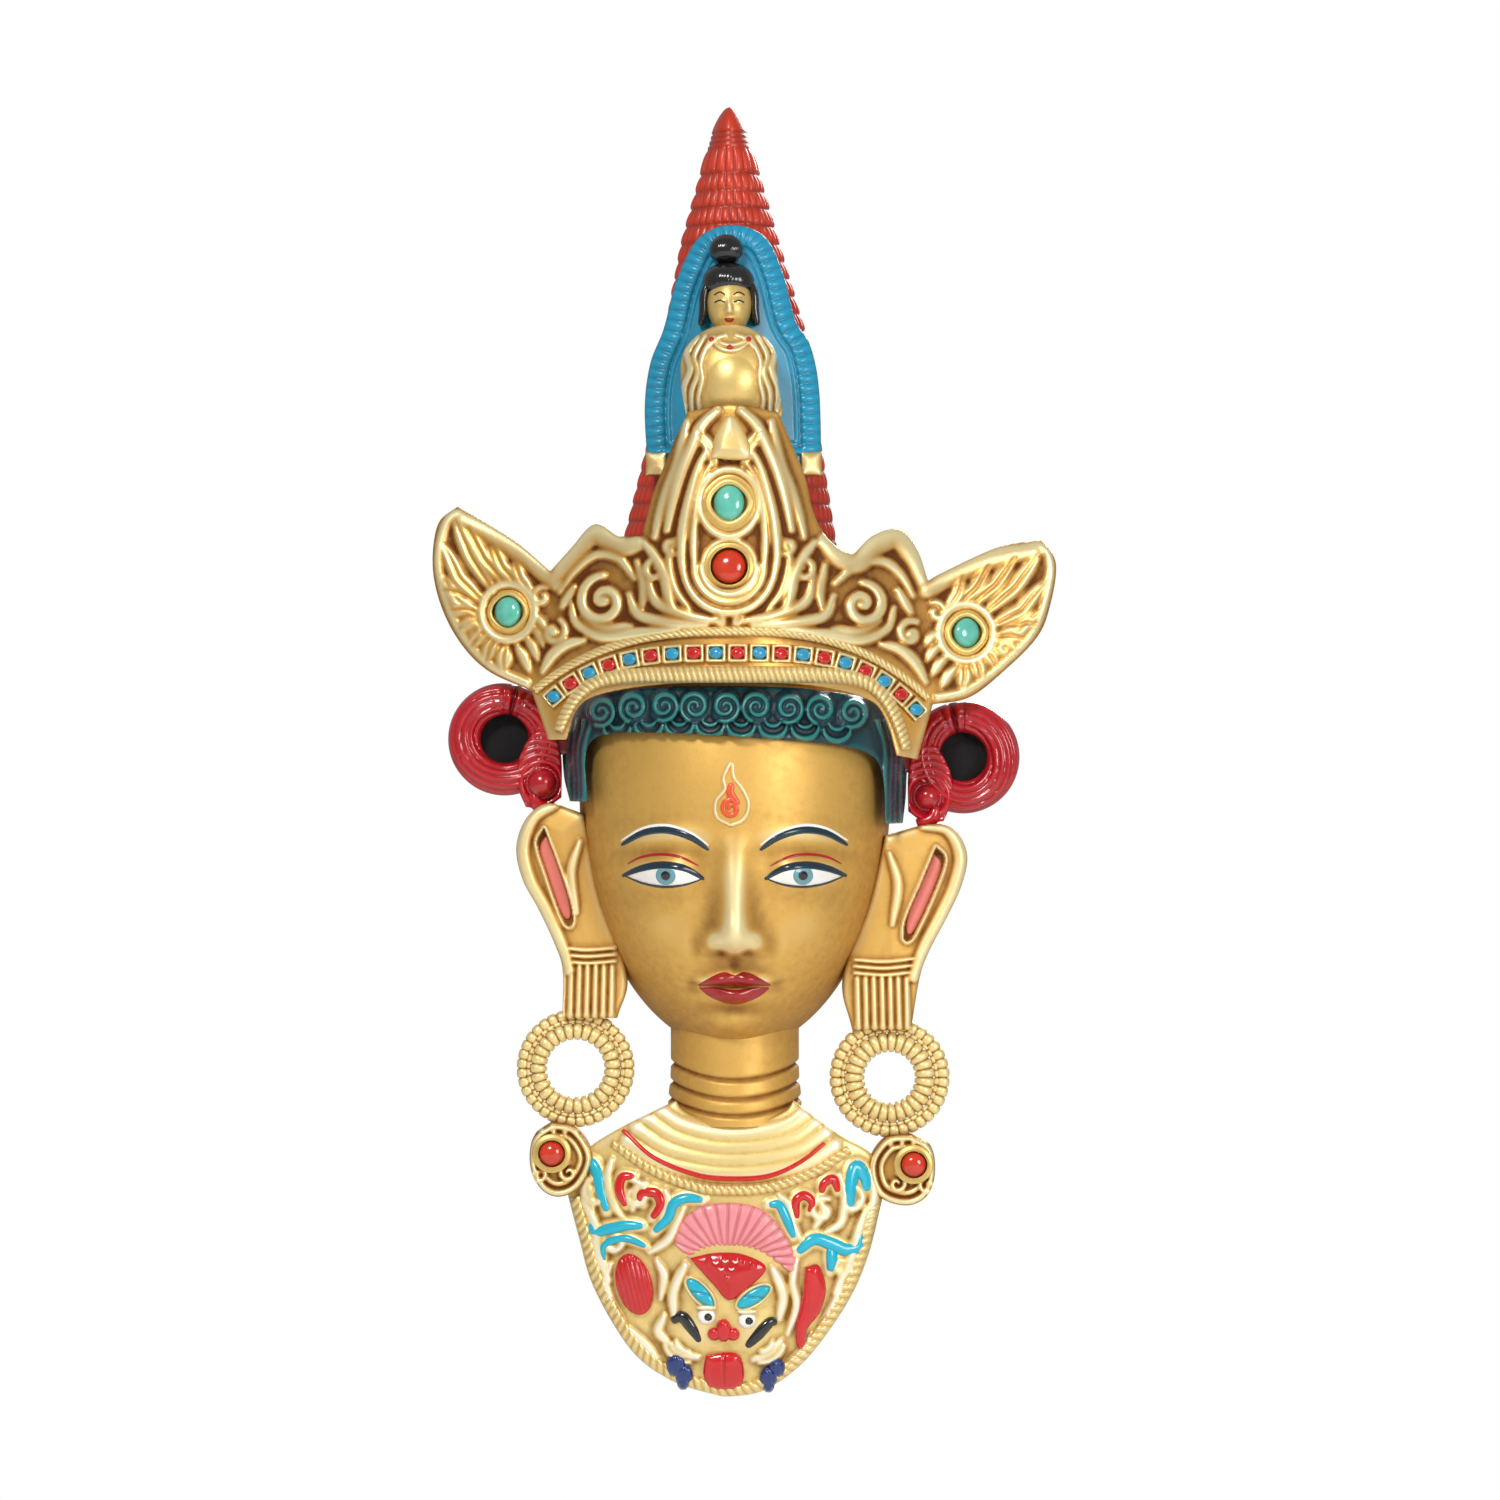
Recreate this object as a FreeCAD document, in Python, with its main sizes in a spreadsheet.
import FreeCAD, Part
import math
import os

from FreeCAD import Placement, Rotation, Vector

# Gilded wall mask: a hollow cast head with a winged crown, tall hood, earrings and a breast plate.
#
# Millimetres. +X is to the viewer's right, -Y towards the viewer, +Z up. The origin is the eye of the
# hanger, where the swinging ring turns. The wall is the plane y = wall, and nothing fixed reaches past it.

# Driving dimensions, in millimetres and degrees, kept in the document's spreadsheet.
DIMENSIONS = {
    "wall": 3.0,
    "head_half_width": 40.0,
    "head_half_height": 66.0,
    "head_reach": 45.0,
    "head_centre": -50.0,
    "head_top": -11.0,
    "shell_gauge": 2.4,
    "neck_half_width": 16.7,
    "neck_reach": 19.0,
    "neck_foot": -135.0,
    "neck_length": 35.0,
    "hair_gap": 0.1,
    "hair_thickness": 4.0,
    "crown_front": 42.0,
    "crown_bell": 45.0,
    "crown_gauge": 2.5,
    "band_thickness": 2.2,
    "lean": 6.0,
    "bead_radius": 1.7,
    "hood_gauge": 1.8,
    "aureole_front": 24.9,
    "aureole_bell": 18.0,
    "aureole_drop": 9.0,
    "aureole_gauge": 3.0,
    "chest_half_width": 50.0,
    "chest_half_height": 60.0,
    "chest_reach": 20.0,
    "chest_centre": -160.0,
    "chest_gauge": 2.2,
    "relief": 1.8,
    "bold_relief": 3.6,
    "ear_back": 4.0,
    "ear_thickness": 9.0,
    "ear_channel": 2.5,
    "rosette_ring": 10.2,
    "rosette_wire": 4.4,
    "rosette_depth": 2.0,
    "felt_radius": 8.0,
    "felt_thickness": 1.6,
    "earring_depth": 7.0,
    "pendant_back": 3.0,
    "pendant_thickness": 9.0,
    "post_radius": 2.0,
    "spine_half_width": 6.0,
    "spine_back": 4.0,
    "strap_gauge": 2.0,
    "strap_half_height": 4.0,
    "lug_gauge": 1.0,
    "eye_bore": 1.6,
    "eye_radius": 2.7,
    "eye_half_width": 1.5,
    "ring_radius": 8.0,
    "ring_wire": 1.0,
    "rivet_radius": 1.0,
    "rivet_head": 1.8,
    "rivet_head_height": 0.7,
}

FAR = 200.0  # longer than any piece, for cutting tools
SHEET = "Dimensions"

doc = FreeCAD.newDocument("wall_mask")


def make_sheet():
    """The spreadsheet with one named cell for each driving dimension."""
    cells = doc.addObject("Spreadsheet::Sheet", SHEET)
    for row, (name, value) in enumerate(DIMENSIONS.items(), start=1):
        cells.set(f"A{row}", name)
        cells.set(f"B{row}", str(value))
        cells.setAlias(f"B{row}", name)
    doc.recompute()
    return cells


sheet = make_sheet()
NODES = {}


def size(name):
    """A driving dimension, read from the sheet."""
    return float(getattr(sheet, name))


def bind(feature, **expressions):
    """Binds a feature's properties to sheet cells. A double underscore stands for a dot in a path."""
    for path, expression in expressions.items():
        words = [f"{SHEET}.{w}" if w in DIMENSIONS else w for w in expression.split()]
        feature.setExpression(path.replace("__", "."), " ".join(words))
    return feature


def keep(node, feature):
    """Gives a finished piece its node name."""
    feature.Label = node
    NODES[node] = feature
    return feature


# Primitives and booleans --------------------------------------------------------------------------

TOWARDS_VIEWER = (Vector(1, 0, 0), 90)
ALONG_X = (Vector(0, 1, 0), 90)


def primitive(kind, name, place=(0, 0, 0), turn=None, **expressions):
    """A Part primitive with its sizes bound to the sheet; turn is (axis, degrees)."""
    feature = doc.addObject(kind, name)
    rotation = Rotation(*turn) if turn else Rotation()
    feature.Placement = Placement(Vector(*place), rotation)
    return bind(feature, **expressions)


def ellipsoid(name, place, high, wide, deep):
    """A whole ellipsoid from its half-height, half-width and half-depth, each a sheet expression."""
    form = primitive("Part::Ellipsoid", name, place, Radius1=high, Radius2=wide, Radius3=deep)
    form.Angle1, form.Angle2, form.Angle3 = -90, 90, 360
    return form


def block(name, low, high):
    """A plain box between two corners."""
    feature = doc.addObject("Part::Box", name)
    feature.Length, feature.Width, feature.Height = (top - bottom for bottom, top in zip(low, high))
    feature.Placement.Base = Vector(*low)
    return feature


def pair(kind, name, base, tool):
    feature = doc.addObject(kind, name)
    feature.Base, feature.Tool = base, tool
    return feature


def cut(name, base, *tools):
    """The base less each tool in turn."""
    for count, tool in enumerate(tools):
        base = pair("Part::Cut", f"{name}_{count}", base, tool)
    return base


def common(name, base, tool):
    return pair("Part::Common", name, base, tool)


def fuse(name, *shapes):
    feature = doc.addObject("Part::MultiFuse", name)
    feature.Shapes = list(shapes)
    return feature


def group(name, shapes):
    """Several separate solids kept in one node."""
    feature = doc.addObject("Part::Compound", name)
    feature.Links = list(shapes)
    return feature


# Outlines: each lies in the front plane, as (x, z) points ------------------------------------------


def curve(points):
    """A smooth run through the points, or a straight one between two."""
    corners = [Vector(x, z, 0) for x, z in points]
    if len(corners) == 2:
        return Part.LineSegment(*corners)
    line = Part.BSplineCurve()
    line.interpolate(corners)
    return line


def loop(points):
    """One smooth closed run through the points."""
    line = Part.BSplineCurve()
    line.interpolate([Vector(x, z, 0) for x, z in points], PeriodicFlag=True)
    return [line]


def strokes(*runs):
    """A closed outline from smooth runs that share their corners, closed by a straight edge if open."""
    edges = [curve(run) for run in runs]
    if math.dist(runs[-1][-1], runs[0][0]) > 0:
        edges.append(curve([runs[-1][-1], runs[0][0]]))
    return edges


def oval(x, z, half_width, half_height, turn=0.0):
    """A smooth oval, turned by degrees."""
    cosine, sine = math.cos(math.radians(turn)), math.sin(math.radians(turn))
    found = []
    for step in range(8):
        angle = math.radians(45 * step)
        u, v = half_width * math.cos(angle), half_height * math.sin(angle)
        found.append((x + u * cosine - v * sine, z + u * sine + v * cosine))
    return loop(found)


def ribbon(points, half_width):
    """The outline of a strip laid along a smooth line through the points."""
    line = curve(points)
    first, last = line.FirstParameter, line.LastParameter
    stations = 5 * len(points)
    left, right = [], []
    for step in range(stations + 1):
        at = first + (last - first) * step / stations
        point, along = line.value(at), line.tangent(at)[0]
        left.append((point.x - along.y * half_width, point.y + along.x * half_width))
        right.append((point.x + along.y * half_width, point.y - along.x * half_width))
    right.reverse()
    return strokes(left, [left[-1], right[0]], right)


def arch(top, left, right, flatness):
    """Points of a flat-topped arch; left and right are (half width, drop) of its two ends."""
    found = []
    for step in range(-12, 13):
        half_width, drop = left if step < 0 else right
        share = math.copysign(math.sin(math.pi / 2 * abs(step) / 12) ** 0.7, step)
        found.append((share * half_width, top - drop * abs(share) ** flatness))
    return found


def evenly(points, count):
    """count points at equal steps along a run, its ends included."""
    lengths = [0.0]
    for a, b in zip(points, points[1:]):
        lengths.append(lengths[-1] + math.dist(a, b))
    found = []
    for step in range(count):
        wanted = lengths[-1] * step / (count - 1)
        k = next(j for j in range(1, len(points)) if lengths[j] >= wanted - 1e-9)
        share = (wanted - lengths[k - 1]) / (lengths[k] - lengths[k - 1])
        a, b = points[k - 1], points[k]
        found.append((a[0] + (b[0] - a[0]) * share, a[1] + (b[1] - a[1]) * share))
    return found


def plane_sketch(body, name, role, edges, offset):
    """A sketch on one of the body's own origin planes, moved along the plane's normal."""
    drawn = body.newObject("Sketcher::SketchObject", name)
    plane = next(o for o in body.Origin.OriginFeatures if o.Role == role)
    drawn.AttachmentSupport = [(plane, "")]
    drawn.MapMode = "FlatFace"
    if isinstance(offset, str):
        bind(drawn, AttachmentOffset__Base__z=offset)
    else:
        drawn.AttachmentOffset = Placement(Vector(0, 0, offset), Rotation())
    for edge in edges:
        drawn.addGeometry(edge, False)
    return drawn


def plate(name, edges, back="0 - wall", thickness="90"):
    """A body with one pad: an outline raised towards the viewer from `back` in front of y = 0."""
    body = doc.addObject("PartDesign::Body", name)
    pad = body.newObject("PartDesign::Pad", name + "_pad")
    pad.Profile = plane_sketch(body, name + "_outline", "XZ_Plane", edges, back)
    bind(pad, Length=thickness)
    return body


# Curved sheets that the crown and the aureole follow: a bell in plan, leaning back ------------------

LEAN = math.radians(size("lean"))


def bell_sheet(name, depth_at, half_width, front, back):
    """The space between two bell-shaped sheets, `front` and `back` of the face given by depth_at."""
    stations = [half_width * step / 14 for step in range(-14, 15)]
    near = [(x, depth_at(x) + front) for x in stations]
    far = [(x, depth_at(x) + back) for x in reversed(stations)]
    body = doc.addObject("PartDesign::Body", name)
    pad = body.newObject("PartDesign::Pad", name + "_pad")
    edges = strokes(near, [near[-1], far[0]], far)
    pad.Profile = plane_sketch(body, name + "_plan", "XY_Plane", edges, -FAR)
    pad.Length = 2 * FAR
    body.Placement = Placement(Vector(0, 0, 0), Rotation(Vector(1, 0, 0), -size("lean")))
    return body


def crown_plan(x):
    """Depth of the crown's face in plan: full in the middle, swept back to the wing tips."""
    return -size("crown_front") * math.exp(-((x / size("crown_bell")) ** 2))


def crown_y(x, z):
    """y of the crown's face at a place in the front view."""
    return crown_plan(x) / math.cos(LEAN) + z * math.tan(LEAN)


def crown_sheet(name, front, back):
    return bell_sheet(name, crown_plan, 98.0, front, back)


def aureole_plan(x):
    bell = 1 - math.exp(-((x / size("aureole_bell")) ** 2))
    return -size("aureole_front") + size("aureole_drop") * bell


def aureole_y(x, z):
    return aureole_plan(x) / math.cos(LEAN) + z * math.tan(LEAN)


# Head, neck and hair --------------------------------------------------------------------------------

HEAD_PLACE = (0, size("wall"), size("head_centre"))


def head_form(name, grow):
    """The head's egg, larger or smaller all round."""
    wide, high, deep = (f"head_{side} {grow}" for side in ("half_width", "half_height", "reach"))
    return ellipsoid(name, HEAD_PLACE, high, wide, deep)


def neck_form(name, shrink, foot, length):
    """An upright elliptic prism for the neck."""
    half_width, reach = size("neck_half_width") - shrink, size("neck_reach") - shrink
    body = doc.addObject("PartDesign::Body", name)
    centre = Vector(0, size("wall"), 0)
    whole = Part.Ellipse(centre + Vector(0, reach, 0), centre + Vector(half_width, 0, 0), centre)
    pad = body.newObject("PartDesign::Pad", name + "_pad")
    pad.Profile = plane_sketch(body, name + "_plan", "XY_Plane", [whole], foot)
    bind(pad, Length=length)
    return body


behind_wall = block("behind_wall", (-FAR, size("wall"), -FAR), (FAR, FAR, FAR))
above_head = block("above_head", (-FAR, -FAR, size("head_top")), (FAR, FAR, FAR))
head_outer = head_form("head_outer", "+ 0")
head_inner = head_form("head_inner", "- shell_gauge")
hair_space = head_form("hair_space", "+ hair_thickness")
neck_outer = neck_form("neck_outer", 0.0, "neck_foot", "neck_length")
neck_inner = neck_form("neck_inner", size("shell_gauge"), "neck_foot - 1", "neck_length + 2")


# Middle, half height, half width and half depth of each swell on the face.
CHIN = ((0, -18.0, -106), "8", "11", "9")


def face_shell():
    """The hollow face: a half egg open at the back and top, with the swell of a nose and lips."""
    nose = ellipsoid("nose_swell", (0, -38.5, -78), "12", "5.5", "9")
    lips = ellipsoid("lips_swell", (0, -33.0, -94), "4.6", "8.6", "5.5")
    chin = ellipsoid("chin_swell", *CHIN)
    whole = fuse("face_whole", head_outer, nose, lips, chin)
    return cut("face_open", whole, behind_wall, above_head, head_inner, neck_inner)


def neck():
    chin_room = ellipsoid("chin_room", *CHIN)
    return cut("neck_tube", neck_outer, neck_inner, behind_wall, head_outer, chin_room)


HAIR_OUTER = [
    (-42.0, -51.7), (-44.4, -44.0), (-44.0, -33.0), (-38.0, -25.0), (-20.0, -22.9), (0, -22.6), (20, -23.4),
    (38.0, -27.0), (44.0, -36.0), (44.6, -48.0), (43.4, -57.3),
]
HAIR_INNER = [
    (38.2, -57.3), (37.6, -46.0), (34.5, -40.0), (24.0, -37.2), (0.0, -35.2), (-24.0, -34.2), (-35.0, -35.5),
    (-37.8, -41.0), (-37.0, -51.7),
]


def hair_band():
    prism = plate("hair_prism", strokes(HAIR_OUTER, [HAIR_OUTER[-1], HAIR_INNER[0]], HAIR_INNER))
    sheet_form = cut("hair_sheet", hair_space, head_form("hair_inside", "+ hair_gap"))
    return cut("hair_under_crown", common("hair_band_form", prism, sheet_form), NODES["crown_plate"])


keep("face_shell", face_shell())
keep("neck", neck())

# Crown plate, its base band and beads ----------------------------------------------------------------

CROWN = [
    [(-51.7, -23.6), (-63.0, -18.4), (-70.2, -11.3), (-75.3, -1.8), (-77.6, 8.7), (-76.3, 19.4), (-71.3, 23.9)],
    [(-71.3, 23.9), (-65.5, 20.6), (-55.3, 14.1), (-46.9, 6.8)],
    [(-46.9, 6.8), (-41.4, 12.7), (-35.5, 18.5), (-29.3, 15.2)],
    [(-29.3, 15.2), (-23.3, 15.2)],
    [(-23.3, 15.2), (-20.6, 25.4), (-18.2, 31.4), (-15.7, 37.3), (-11.6, 46.3)],
    [(-11.6, 46.3), (0.0, 48.0), (11.0, 46.0)],
    [(11.0, 46.0), (14.1, 38.8), (17.7, 30.1), (19.5, 22.2), (22.1, 16.3), (26.3, 12.1), (30.1, 10.8)],
    [(30.1, 10.8), (35.2, 15.7), (42.1, 17.5), (46.5, 12.2), (49.2, 4.4)],
    [(49.2, 4.4), (53.5, 6.9), (67.6, 13.4), (78.9, 15.4)],
    [(78.9, 15.4), (82.5, 9.3), (81.0, -1.3), (77.5, -9.7), (68.4, -18.8), (59.8, -25.2), (50.4, -27.0)],
    [(50.4, -27.0), (46.4, -41.0)],
    [(46.4, -41.0), (41.0, -40.0)],
    [(41.0, -40.0), (38.0, -30.5), (33.0, -25.6), (18.0, -22.4), (0.0, -21.8), (-18.0, -22.2), (-34.0, -24.6),
     (-40.0, -28.5), (-42.6, -36.0)],
    [(-42.6, -36.0), (-47.4, -36.0)],
]
UPPER_ROPE = arch(-9.0, (51.0, 14.5), (49.3, 16.5), 2.8)
JEWEL_LINE = arch(-14.4, (47.5, 12.0), (47.5, 15.5), 3.6)
LOWER_ROPE = arch(-19.8, (44.6, 14.0), (43.6, 18.6), 9.0)
BEADS = 19
BEAD_SEAT = 0.35  # how far a bead's centre lies behind the strip's face

crown_front_space = crown_sheet("crown_front_space", -60.0, 0.0)
crown_metal = crown_sheet("crown_metal", 0.0, size("crown_gauge"))
band_space = crown_sheet("band_space", -size("band_thickness"), 0.0)
before_band = crown_sheet("before_band", -60.0, -size("band_thickness"))


def band(node, line, half_width, *neighbours):
    """A strip of the crown's base band, laid on the crown's face."""
    prism = plate(node + "_prism", ribbon(line, half_width))
    return keep(node, cut(node + "_fitted", common(node + "_form", prism, band_space), *neighbours))


def beads(colour, first):
    """Every other bead of the jewel strip, resting on its face."""
    found = []
    for step, (x, z) in list(enumerate(evenly(JEWEL_LINE, BEADS)))[first::2]:
        y = crown_y(x, z) - size("band_thickness") + BEAD_SEAT
        place = (x, y, z)
        whole = primitive("Part::Sphere", f"bead_{step}_whole", place, TOWARDS_VIEWER, Radius="bead_radius")
        found.append(common(f"bead_{step}", whole, before_band))
    return keep("band_beads_" + colour, group(f"beads_{colour}", found))


keep("crown_plate", common("crown_form", plate("crown_prism", strokes(*CROWN)), crown_metal))
keep("hair_band", hair_band())
band("crown_upper_rope", UPPER_ROPE, 1.3)
band("crown_jewel_strip", JEWEL_LINE, 2.2)
band("crown_lower_rope", LOWER_ROPE, 1.7, NODES["crown_jewel_strip"])
beads("blue", 0)
beads("red", 1)


def crown_posts():
    """Two short posts that carry the crown on the head, hidden behind the plate."""
    found = []
    room = crown_sheet("post_room", size("crown_gauge"), 60.0)
    for side in (-1, 1):
        place = (16.0 * side, -10.0, -15.5)
        rod = primitive("Part::Cylinder", f"post_{side}", place, TOWARDS_VIEWER, Radius="post_radius")
        rod.Height = 60
        found.append(cut(f"post_fitted_{side}", common(f"post_back_{side}", rod, room), head_outer))
    return group("post_pair", found)


keep("crown_posts", crown_posts())

# Stones in deep bezels ---------------------------------------------------------------------------------


def bezel_ring(name, x, z, face_y, bore, outer, height, behind):
    """A short collar round a stone, standing on the surface at face_y."""
    depth = height + behind
    tube = primitive("Part::Cylinder", name + "_tube", (x, face_y + behind, z), TOWARDS_VIEWER)
    tube.Radius, tube.Height = outer, depth
    hole = primitive("Part::Cylinder", name + "_hole", (x, face_y + behind + 1, z), TOWARDS_VIEWER)
    hole.Radius, hole.Height = bore, depth + 2
    return cut(name + "_ring", tube, hole)


def cabochon(name, x, z, seat_y, half_width, half_height, rise):
    """A domed stone with a flat back at seat_y."""
    whole = ellipsoid(name + "_dome", (x, seat_y, z), str(half_height), str(half_width), str(rise))
    back = block(name + "_back", (x - FAR, seat_y, z - FAR), (x + FAR, seat_y + FAR, z + FAR))
    return cut(name + "_stone", whole, back)


CROWN_STONES = [
    # bezel node, stone node, x, z, stone half width, half height, bore, outer radius
    ("crown_top_bezel", "crown_turquoise", -1.3, 23.1, 3.9, 3.9, 4.9, 6.7),
    ("crown_coral_bezel", "crown_coral", -1.3, 7.2, 4.3, 4.3, 4.6, 5.8),
    ("wing_bezel_left", "wing_turquoise_left", -57.9, -3.3, 3.5, 3.5, 4.2, 5.8),
    ("wing_bezel_right", "wing_turquoise_right", 59.2, -8.6, 3.4, 3.4, 4.2, 6.2),
]


def set_crown_stone(bezel_node, stone_node, x, z, half_width, half_height, bore, outer):
    """The stone sits on the crown's face, at the highest point that its own back touches."""
    seat = min(crown_y(x + dx, z + dz) for dx in (-half_width, 0, half_width) for dz in (-half_height, half_height))
    ring = bezel_ring(bezel_node, x, z, seat, bore, outer, 2.2, 12.0)
    keep(bezel_node, common(bezel_node + "_on_crown", ring, crown_front_space))
    pad = primitive("Part::Cylinder", stone_node + "_bed", (x, seat + 12, z), TOWARDS_VIEWER)
    pad.Radius, pad.Height = half_width * 0.8, 12
    dome = fuse(stone_node + "_whole", cabochon(stone_node, x, z, seat, half_width, half_height, 3.2), pad)
    keep(stone_node, common(stone_node + "_on_crown", dome, crown_front_space))


for row in CROWN_STONES:
    set_crown_stone(*row)

# Hood, aureole and the small seated figure ---------------------------------------------------------------

# level, middle, half width and reach of each of the hood's sections
HOOD = [(-11.0, 0.0, 31.5, 35.4), (0.0, -0.6, 29.6, 27.4), (16.0, -1.3, 27.8, 23.4), (40.0, -0.2, 23.0, 20.8),
        (66.0, 0.2, 19.4, 18.1), (92.0, -1.2, 13.1, 15.4), (126.4, -1.3, 3.5, 11.8)]


def hood_cone(name, shrink, foot, tip):
    """A tall cone with a flat back: a loft through half ellipses, smaller by shrink."""
    body = doc.addObject("PartDesign::Body", name)
    sections = []
    for step, (z, x, half_width, reach) in enumerate(HOOD):
        wide, deep = half_width - shrink, reach - shrink
        level = z - foot if step == 0 else z - tip if step == len(HOOD) - 1 else z
        middle = Vector(x, size("wall"), 0)
        arc = [
            (x + wide * math.cos(math.pi * k / 12), size("wall") - deep * math.sin(math.pi * k / 12))
            for k in range(13)
        ]
        edges = [curve(arc), Part.LineSegment(middle - Vector(wide, 0, 0), middle + Vector(wide, 0, 0))]
        sections.append(plane_sketch(body, f"{name}_section_{step}", "XY_Plane", edges, level))
    loft = body.newObject("PartDesign::AdditiveLoft", name + "_loft")
    loft.Profile, loft.Sections = sections[0], sections[1:]
    return body


AUREOLE_OUTER = [
    (-22.1, 33.0), (-22.9, 48.6), (-21.5, 59.8), (-18.1, 68.6), (-14.8, 81.0), (-9.3, 91.5), (-0.8, 94.8),
    (7.5, 92.0), (12.1, 83.3), (15.4, 70.9), (19.3, 64.3), (21.5, 53.0), (22.1, 33.0),
]
FIGURE_BODY = [
    (-12.2, 46.0), (-13.6, 54.0), (-12.8, 62.0), (-8.0, 67.0), (-1.2, 68.6), (5.4, 67.0), (10.2, 62.0),
    (10.9, 54.0), (11.4, 45.0), (0.0, 43.6),
]


hood_solid = hood_cone("hood_solid", 0.0, 0.0, 0.0)
hood_room = hood_cone("hood_hollow", size("hood_gauge"), 2.0, 4.0)  # runs on past the foot


def aureole():
    prism = plate("aureole_prism", strokes(AUREOLE_OUTER))
    metal = bell_sheet("aureole_metal", aureole_plan, 40.0, 0.0, size("aureole_gauge") + 3.0)
    return cut("aureole_on_hood", common("aureole_form", prism, metal), hood_solid)


aureole_piece = aureole()
in_front_of_aureole = bell_sheet("in_front_of_aureole", aureole_plan, 40.0, -40.0, 0.0)
behind_crown_face = crown_sheet("behind_crown_face", -60.0, size("crown_gauge"))


crown_block = block("crown_block", (-FAR, -FAR, -FAR), (FAR, FAR, 48.3))


def figure_body():
    """A seated body between the aureole and the crown's top edge."""
    prism = plate("body_prism", loop(FIGURE_BODY), "0", "37")
    room = common("body_on_aureole", prism, in_front_of_aureole)
    swell = ellipsoid("body_swell", (-0.6, -24.0, 55.0), "15", "13.2", "13")
    crown_room = common("crown_room", behind_crown_face, crown_block)
    return cut("body_fitted", common("body_round", room, swell), crown_room)


body_piece = figure_body()


def figure_head():
    whole = ellipsoid("figure_head_form", (-1.3, -21.0, 74.3), "7.85", "5.65", "6.6")
    on_field = common("figure_head_on_field", whole, in_front_of_aureole)
    return cut("figure_head_fitted", on_field, body_piece)


def figure_hair(head_piece):
    """A cap of hair and a round bun above it."""
    cap = ellipsoid("figure_cap", (-1.6, -20.0, 79.8), "5", "6.8", "7.0")
    bun = ellipsoid("figure_bun", (-2.1, -19.0, 88.6), "4.2", "4.5", "5.0")
    whole = common("figure_hair_on_field", fuse("figure_hair_form", cap, bun), in_front_of_aureole)
    low = block("figure_hair_low", (-FAR, -FAR, -FAR), (FAR, FAR, 78.6))
    return cut("figure_hair_fitted", whole, head_piece, low)


keep("hood", cut("hood_shell", hood_solid, hood_room))
keep("aureole", aureole_piece)
keep("figure_body", body_piece)
keep("figure_head", figure_head())
keep("figure_hair", figure_hair(NODES["figure_head"]))

# Chest plate ------------------------------------------------------------------------------------------------

CHEST_PLACE = (0, size("wall"), size("chest_centre"))
CHEST_RIM = [
    (-42.7, -152.4), (-39.8, -163.2), (-36.0, -175.8), (-26.5, -191.7), (-16.4, -199.4), (-5.4, -203.0),
    (-0.5, -203.5), (8.0, -201.7), (18.2, -194.0), (28.5, -179.9), (33.9, -168.0), (37.5, -153.9),
]
CHEST_RIGHT = [(37.5, -153.9), (38.4, -147.0), (34.0, -141.0), (26.2, -136.5), (15.0, -128.0)]
CHEST_LEFT = [(-15.0, -128.0), (-29.0, -135.0), (-37.5, -140.5), (-42.0, -146.0), (-42.7, -152.4)]
CHEST_MIDDLE = (-2.0, -160.0)


def chest_form(name, grow):
    wide, high, deep = (f"chest_{side} {grow}" for side in ("half_width", "half_height", "reach"))
    return ellipsoid(name, CHEST_PLACE, high, wide, deep)


def toward_middle(points, inset):
    """The points moved towards the chest's middle by about the inset."""
    found = []
    for x, z in points:
        dx, dz = x - CHEST_MIDDLE[0], z - CHEST_MIDDLE[1]
        share = 1 - inset / math.hypot(dx, dz)
        found.append((CHEST_MIDDLE[0] + dx * share, CHEST_MIDDLE[1] + dz * share))
    return found


def chest_outline(inset):
    runs = [CHEST_RIM, CHEST_RIGHT, [CHEST_RIGHT[-1], CHEST_LEFT[0]], CHEST_LEFT]
    return strokes(*[toward_middle(run, inset) if inset else run for run in runs])


chest_front = chest_form("chest_front", "+ 0")
chest_hollow = common(
    "chest_hollow",
    plate("chest_hollow_prism", chest_outline(size("chest_gauge"))),
    chest_form("chest_inside", "- chest_gauge"),
)
relief_space = cut("relief_space", chest_form("relief_front", "+ relief"), chest_front)
bold_space = cut("bold_space", chest_form("bold_front", "+ bold_relief"), chest_front)


def chest_plate():
    whole = common("chest_whole", plate("chest_prism", chest_outline(0)), chest_front)
    return cut("chest_tray", whole, chest_hollow, neck_outer)


def on_chest(node, outlines, space=relief_space):
    """Raised pieces laid on the chest's face, kept in one node."""
    found = []
    for step, edges in enumerate(outlines):
        prism = plate(f"{node}_prism_{step}", edges)
        room = [neck_outer, *(NODES[rope] for rope in CHEST_ROPES if rope in NODES)]
        found.append(cut(f"{node}_piece_{step}", common(f"{node}_on_{step}", prism, space), *room))
    return keep(node, found[0] if len(found) == 1 else group(node + "_set", found))


CHEST_ROPES = ("collar_rope", "chest_rim_rope")
COLLAR_LINE = [(-31.4, -138.6), (-21.0, -145.2), (-10.0, -149.4), (-1.0, -150.3), (9.0, -149.6), (20.0, -146.0),
               (29.3, -140.4)]
FAN = strokes(
    [(-14.8, -163.2), (-11.0, -157.2), (-5.4, -154.6), (3.0, -155.2), (8.7, -157.8), (14.4, -164.8)],
    [(14.4, -164.8), (9.6, -166.4)],
    [(9.6, -166.4), (3.0, -163.8), (-5.4, -163.2), (-10.4, -165.2)],
)
GUARDIAN = [
    strokes([(-10.8, -166.8), (-4.0, -165.2), (3.0, -165.4), (7.6, -168.0), (4.9, -173.5), (-1.3, -177.0),
             (-6.9, -172.7), (-10.8, -166.8)]),
    oval(-2.8, -186.0, 3.4, 3.1),
    oval(-7.6, -182.4, 1.7, 1.7),
    oval(3.6, -183.4, 1.7, 1.7),
]
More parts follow.
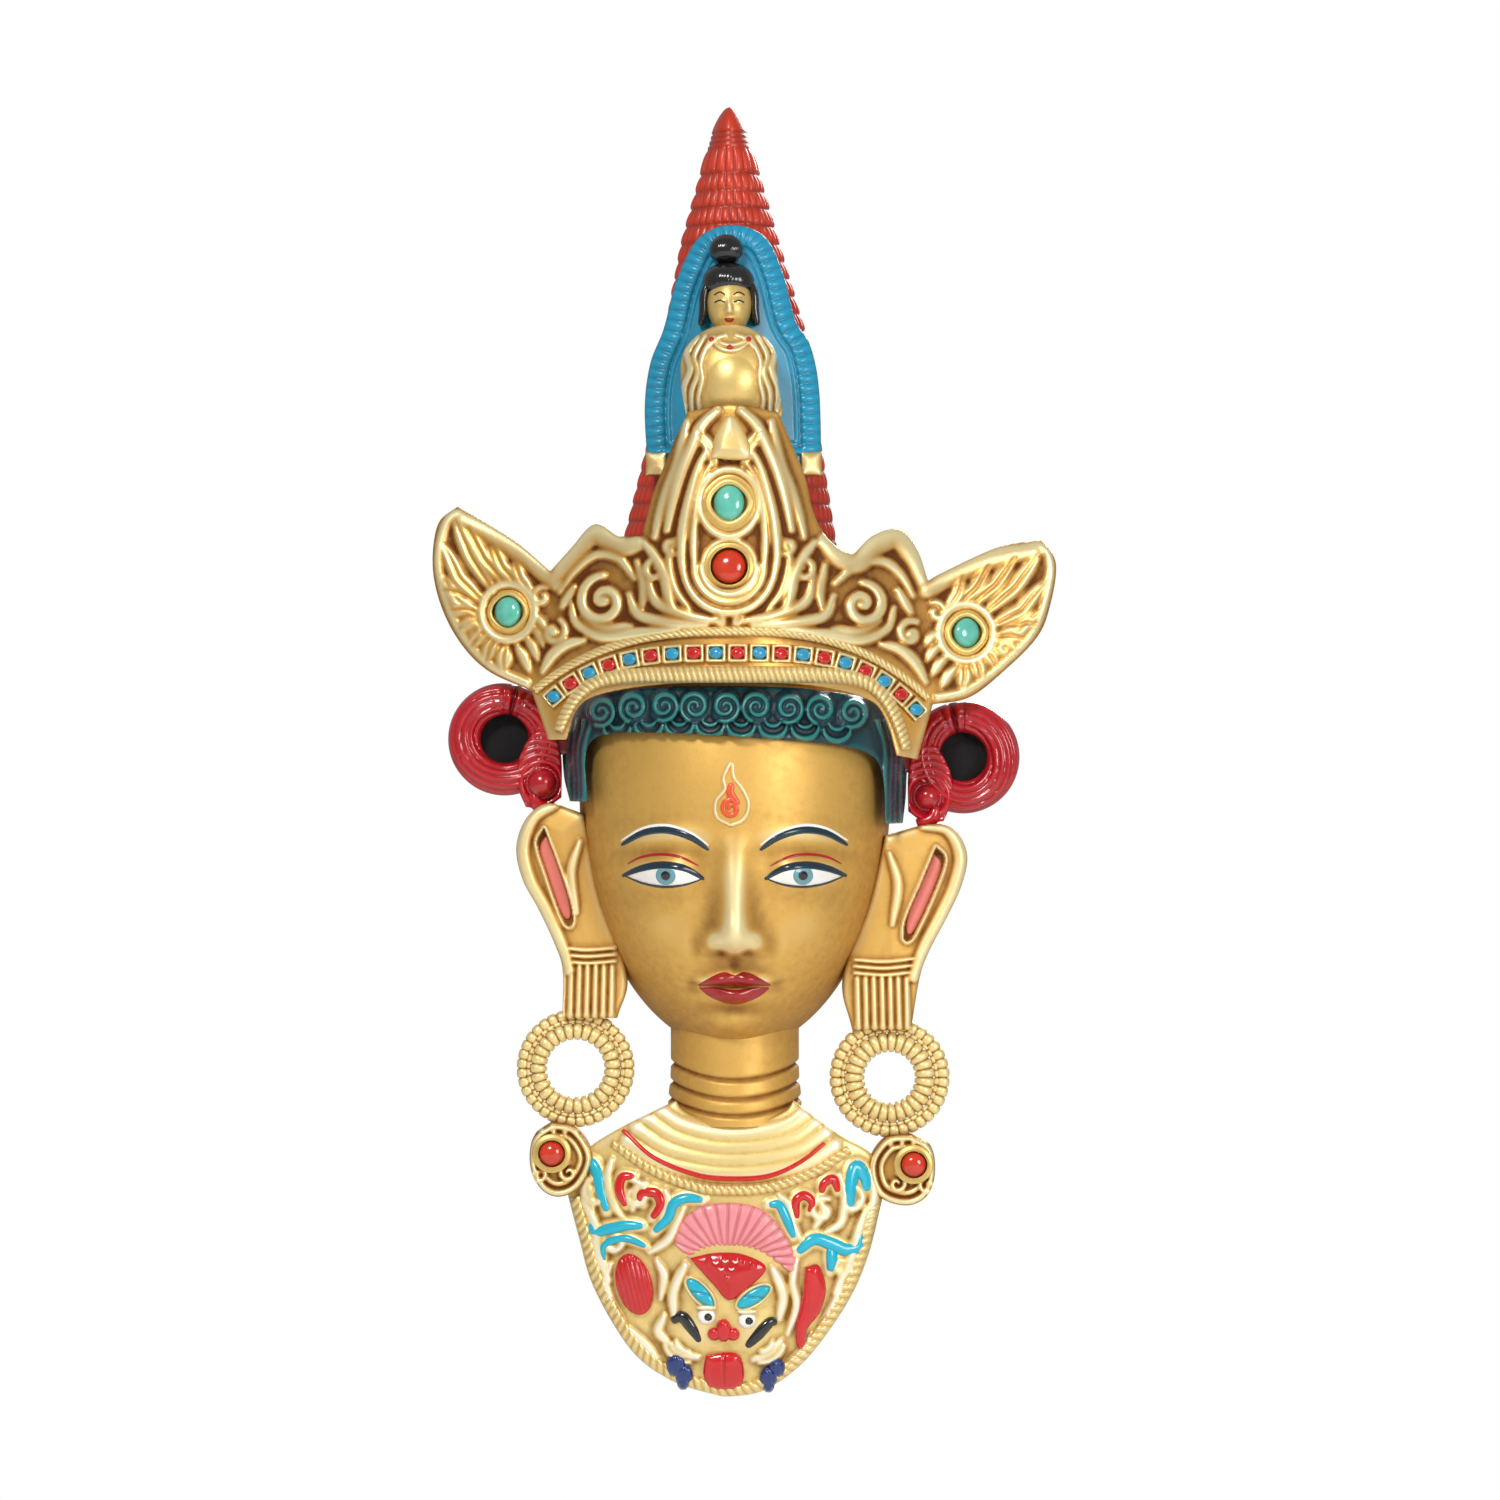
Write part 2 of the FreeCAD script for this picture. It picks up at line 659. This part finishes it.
LEAVES = [oval(-8.6, -176.6, 4.2, 1.7, -45), oval(5.4, -178.2, 4.2, 1.7, 42)]
FEATHERS = [oval(-26.0, -175.2, 4.6, 8.4, 15), oval(20.4, -176.4, 3.0, 8.6, -16)]
TURQUOISE_SCROLLS = [
    [(-40.0, -147.6), (-37.4, -144.9), (-35.2, -148.0), (-32.9, -155.4)],
    [(-9.5, -153.4), (-13.6, -154.4), (-17.6, -160.4)],
    [(-36.2, -160.0), (-33.4, -161.4), (-28.6, -160.2), (-23.8, -159.4)],
    [(-32.6, -169.0), (-31.4, -165.6), (-27.6, -164.2), (-22.6, -165.0)],
    [(10.2, -154.6), (12.9, -157.8), (14.4, -160.6)],
    [(30.2, -146.2), (31.4, -150.2), (30.2, -155.4)],
    [(17.6, -166.8), (21.3, -163.6), (27.0, -164.4), (31.4, -162.6)],
]
RED_SCROLLS = [
    [(-29.0, -153.2), (-28.6, -149.4), (-25.9, -148.2)],
    [(-19.8, -156.2), (-20.8, -152.4), (-23.8, -152.6)],
    [(17.2, -157.6), (17.0, -154.0), (19.8, -153.6)],
    [(22.8, -152.4), (24.2, -149.6), (27.0, -150.4)],
]

keep("chest_plate", chest_plate())
on_chest("collar_rope", [ribbon(COLLAR_LINE, 1.5)])
on_chest("chest_rim_rope", [ribbon(toward_middle(CHEST_RIM, 1.9), 1.6)])
on_chest("lotus_fan", [FAN])
on_chest("guardian_face", GUARDIAN, bold_space)
on_chest("guardian_leaves", LEAVES)
on_chest("guardian_feathers", FEATHERS)
on_chest("guardian_tongue", [oval(-2.7, -194.0, 4.6, 4.2)])
on_chest("chest_tassels", [oval(-13.6, -194.0, 3.0, 2.6, -20), oval(9.4, -194.6, 3.2, 2.6, 24)])
on_chest("chest_scrolls_turquoise", [ribbon(run, 1.1) for run in TURQUOISE_SCROLLS])
on_chest("chest_scrolls_red", [ribbon(run, 1.0) for run in RED_SCROLLS])

# Ears, rosettes, earrings and pendants, one set each side ------------------------------------------------------

SIDES = {
    "left": {
        "side": -1, "rosette": (-59.1, -35.8), "boss": (-49.3, -47.0, 4.4), "earring": (-40.7, -120.0),
        "inner": (9.6, 2.3), "outer": (13.5, 1.6), "coral": (-46.6, -141.4),
        "ear": [[(-38.0, -55.0), (-47.5, -52.2), (-53.2, -56.0), (-55.8, -63.5), (-54.2, -71.6), (-50.1, -79.2),
                 (-46.0, -88.0), (-43.9, -94.8), (-44.0, -107.2)], [(-44.0, -107.2), (-30.0, -107.2)],
                [(-30.0, -107.2), (-27.0, -98.0), (-30.0, -76.0), (-38.0, -55.0)]],
        "channel": [(-48.6, -58.6), (-50.4, -62.4), (-48.2, -70.0), (-43.8, -82.0), (-41.4, -83.0), (-41.8, -78.0),
                    (-45.0, -68.0)],
        "pendant": [(-46.6, -133.6), (-51.4, -137.4), (-52.2, -144.6), (-49.4, -150.6), (-44.8, -152.6),
                    (-39.6, -150.0), (-36.4, -142.4), (-40.6, -135.0)],
    },
    "right": {
        "side": 1, "rosette": (58.6, -40.4), "boss": (49.3, -50.6, 3.8), "earring": (39.6, -122.3),
        "inner": (9.1, 2.7), "outer": (13.6, 1.8), "coral": (45.6, -144.2),
        "ear": [[(38.0, -60.5), (49.9, -57.6), (56.2, -59.0), (59.4, -65.4), (58.0, -73.0), (54.5, -80.7),
                 (49.8, -89.6), (47.3, -96.4), (45.0, -110.0)], [(45.0, -110.0), (30.0, -110.0)],
                [(30.0, -110.0), (27.0, -98.0), (30.0, -78.0), (38.0, -60.5)]],
        "channel": [(51.4, -63.4), (53.6, -66.6), (51.0, -74.6), (45.6, -86.0), (43.2, -86.8), (43.6, -81.8),
                    (47.6, -72.4)],
        "pendant": [(45.0, -136.6), (50.2, -140.0), (51.0, -147.4), (48.4, -153.0), (43.0, -154.8),
                    (36.4, -152.0), (34.4, -144.0), (38.6, -137.6)],
    },
}


def ring_about_y(name, place, radius, wire):
    """A plain ring seen face on from the front."""
    ring = primitive("Part::Torus", name, place, TOWARDS_VIEWER)
    ring.Radius1, ring.Radius2 = radius, wire
    return ring


def rosette(word, spec):
    """A ribbon rosette: a thick ring with a tang to the hair, a boss at its foot and a disc of felt."""
    (x, z), (boss_x, boss_z, boss_radius) = spec["rosette"], spec["boss"]
    y = -size("rosette_depth")
    ring = bind(ring_about_y("rosette_ring_" + word, (x, y, z), 1, 0.5),
                Radius1="rosette_ring", Radius2="rosette_wire")
    low_x, high_x = sorted((spec["side"] * 36.0, spec["side"] * 49.0))
    tang = block("rosette_tang_" + word, (low_x, y - 2, z - 4), (high_x, y + 2, z + 2))
    boss = primitive("Part::Sphere", "rosette_boss_form_" + word, (boss_x, y - 2, boss_z))
    boss.Radius = boss_radius
    whole = fuse("rosette_whole_" + word, ring, tang)
    piece = cut("rosette_fitted_" + word, whole, hair_space, behind_wall, crown_keep_out)
    disc = primitive("Part::Cylinder", "felt_form_" + word, (x, size("wall") - 0.6, z), TOWARDS_VIEWER)
    bind(disc, Radius="felt_radius", Height="felt_thickness")
    keep("rosette_" + word, piece)
    keep("rosette_boss_" + word, cut("boss_fitted_" + word, boss, whole, hair_space, behind_wall))
    keep("rosette_felt_" + word, cut("felt_fitted_" + word, disc, whole))


def ear(word, spec, neighbours):
    """A long-lobed ear with a hollowed channel, fitted to the side of the head."""
    body = plate("ear_body_" + word, strokes(*spec["ear"]), "ear_back", "ear_thickness")
    doc.recompute()
    channel = body.newObject("PartDesign::Pocket", "ear_channel_" + word)
    face = "ear_back + ear_thickness"
    channel.Profile = plane_sketch(body, "ear_channel_outline_" + word, "XZ_Plane", loop(spec["channel"]), face)
    bind(channel, Length="ear_channel")
    doc.recompute()
    keep("ear_" + word, cut("ear_fitted_" + word, body, head_outer, *neighbours))


def earring(word, spec):
    """A ribbed hoop with a thicker inner ring."""
    x, z = spec["earring"]
    place = (x, -size("earring_depth"), z)
    inner = ring_about_y("earring_inner_form_" + word, place, *spec["inner"])
    outer = ring_about_y("earring_outer_form_" + word, place, *spec["outer"])
    keep("earring_inner_" + word, inner)
    return keep("earring_" + word, cut("earring_hoop_" + word, outer, inner, head_outer))


def pendant(word, spec, hoop):
    """A scrolled drop below the hoop, with a coral stone in its bezel."""
    x, z = spec["coral"]
    front = -size("pendant_back") - size("pendant_thickness")
    drop = plate("pendant_form_" + word, loop(spec["pendant"]), "pendant_back", "pendant_thickness")
    keep("pendant_" + word, cut("pendant_fitted_" + word, drop, hoop, relief_room))
    keep("pendant_bezel_" + word, bezel_ring("pendant_bezel_form_" + word, x, z, front, 3.5, 4.9, 1.8, 0.0))
    keep("pendant_coral_" + word, cabochon("pendant_coral_form_" + word, x, z, front, 3.3, 3.3, 3.0))


crown_keep_out = crown_sheet("crown_keep_out", -60.0, size("crown_gauge"))
relief_room = common(
    "relief_room", plate("relief_body_prism", chest_outline(0)), chest_form("relief_body_form", "+ relief")
)

for word, spec in SIDES.items():
    rosette(word, spec)
    hoop = earring(word, spec)
    ear(word, spec, [hoop, NODES["earring_inner_" + word]])
    pendant(word, spec, hoop)

# Frame at the back: a spine with cross straps, and the hanger --------------------------------------------------

SPINE_TOP, SPINE_FOOT = 62.0, -184.0
spine_back = -size("spine_back")
spine_front = spine_back - size("strap_gauge")
strap_front = spine_front - size("strap_gauge")
STRAPS = {"strap_hood": (34.0, hood_room), "strap_face": (-56.0, head_inner), "strap_chest": (-166.0, chest_hollow)}
LUG_HALF_WIDTH, LUG_HALF_HEIGHT = 7.4, 3.4


def rivet(name, x, z, back, front):
    """A round-headed rivet through everything from back to front; returns the whole rivet and its shank."""
    head_height = size("rivet_head_height")
    shank = primitive("Part::Cylinder", name + "_shank", (x, back, z), TOWARDS_VIEWER, Radius="rivet_radius")
    shank.Height = back - front
    heads = []
    for end, start in (("head", back + head_height), ("tail", front)):
        disc = primitive("Part::Cylinder", f"{name}_{end}", (x, start, z), TOWARDS_VIEWER, Radius="rivet_head")
        bind(disc, Height="rivet_head_height")
        heads.append(disc)
    return fuse(name, shank, *heads), shank


def straps_and_spine():
    """Cross straps that span each hollow, riveted in front of the spine."""
    half_width, half_height = size("spine_half_width"), size("strap_half_height")
    rivets, shanks = [], []
    for node, (z, room) in STRAPS.items():
        low, high = (-FAR, strap_front, z - half_height), (FAR, spine_front, z + half_height)
        span = common(node + "_span", block(node + "_bar", low, high), room)
        holes = []
        for side in (-1, 1):
            whole, shank = rivet(f"{node}_rivet_{side}", 3.2 * side, z, spine_back, strap_front)
            rivets.append(whole)
            holes.append(shank)
        keep(node, cut(node + "_drilled", span, *holes))
        shanks += holes
    lug_rivets, lug_shanks = [], []
    for side in (-1, 1):
        whole, shank = rivet(f"lug_rivet_{side}", 4.6 * side, 0, spine_back + size("lug_gauge"), spine_front)
        lug_rivets.append(whole)
        lug_shanks.append(shank)
    low, high = (-half_width, spine_front, SPINE_FOOT), (half_width, spine_back, SPINE_TOP)
    keep("spine_bar", cut("spine_drilled", block("spine_form", low, high), *shanks, *lug_shanks))
    keep("strap_rivets", group("strap_rivet_set", rivets))
    keep("lug_rivets", group("lug_rivet_set", lug_rivets))
    return lug_shanks


def hanger_lug(holes):
    """A riveted foot with a round eye whose bore lies along X through the origin."""
    foot = block(
        "lug_foot",
        (-LUG_HALF_WIDTH, spine_back, -LUG_HALF_HEIGHT),
        (LUG_HALF_WIDTH, spine_back + size("lug_gauge"), LUG_HALF_HEIGHT),
    )
    half = size("eye_half_width")
    web = block("lug_web", (-half, spine_back, -size("eye_radius")), (half, 0, size("eye_radius")))
    eye = primitive("Part::Cylinder", "lug_eye", (-half, 0, 0), ALONG_X, Radius="eye_radius")
    bind(eye, Height="2 * eye_half_width")
    bore = primitive("Part::Cylinder", "lug_bore", (-half - 1, 0, 0), ALONG_X, Radius="eye_bore")
    bind(bore, Height="2 * eye_half_width + 2")
    return cut("lug_finished", fuse("lug_whole", foot, web, eye), bore, *holes)


def hanger_ring():
    """A wire ring through the eye, hanging straight down."""
    ring = ring_about_y("hanger_ring_form", (0, 0, -size("ring_radius")), 1, 0.5)
    return bind(ring, Radius1="ring_radius", Radius2="ring_wire", Placement__Base__z="0 - ring_radius")


keep("hanger_lug", hanger_lug(straps_and_spine()))
keep("hanger_ring", hanger_ring())

# Checks and export --------------------------------------------------------------------------------------------

doc.recompute()
faults = [f"{item.Name} {item.State}" for item in doc.Objects if {"Invalid", "Error"} & set(item.State)]
for node, feature in NODES.items():
    shape = feature.Shape
    if shape.isNull() or not shape.isValid() or not shape.Solids or shape.Volume <= 0:
        faults.append(node)
if faults:
    raise RuntimeError(f"these objects failed: {faults}")

os.makedirs("parts", exist_ok=True)
for node, feature in NODES.items():
    solids = feature.Shape.Solids
    shape = solids[0] if len(solids) == 1 else Part.makeCompound(solids)
    shape.exportStep(f"parts/{node}.step")
    box = shape.optimalBoundingBox(False)
    print(f"{node:24s} solids {len(solids):2d} volume {shape.Volume:8.0f}  x {box.XMin:6.1f} {box.XMax:6.1f}"
          f"  y {box.YMin:6.1f} {box.YMax:5.1f}  z {box.ZMin:7.1f} {box.ZMax:7.1f}")
print(len(NODES), "nodes")
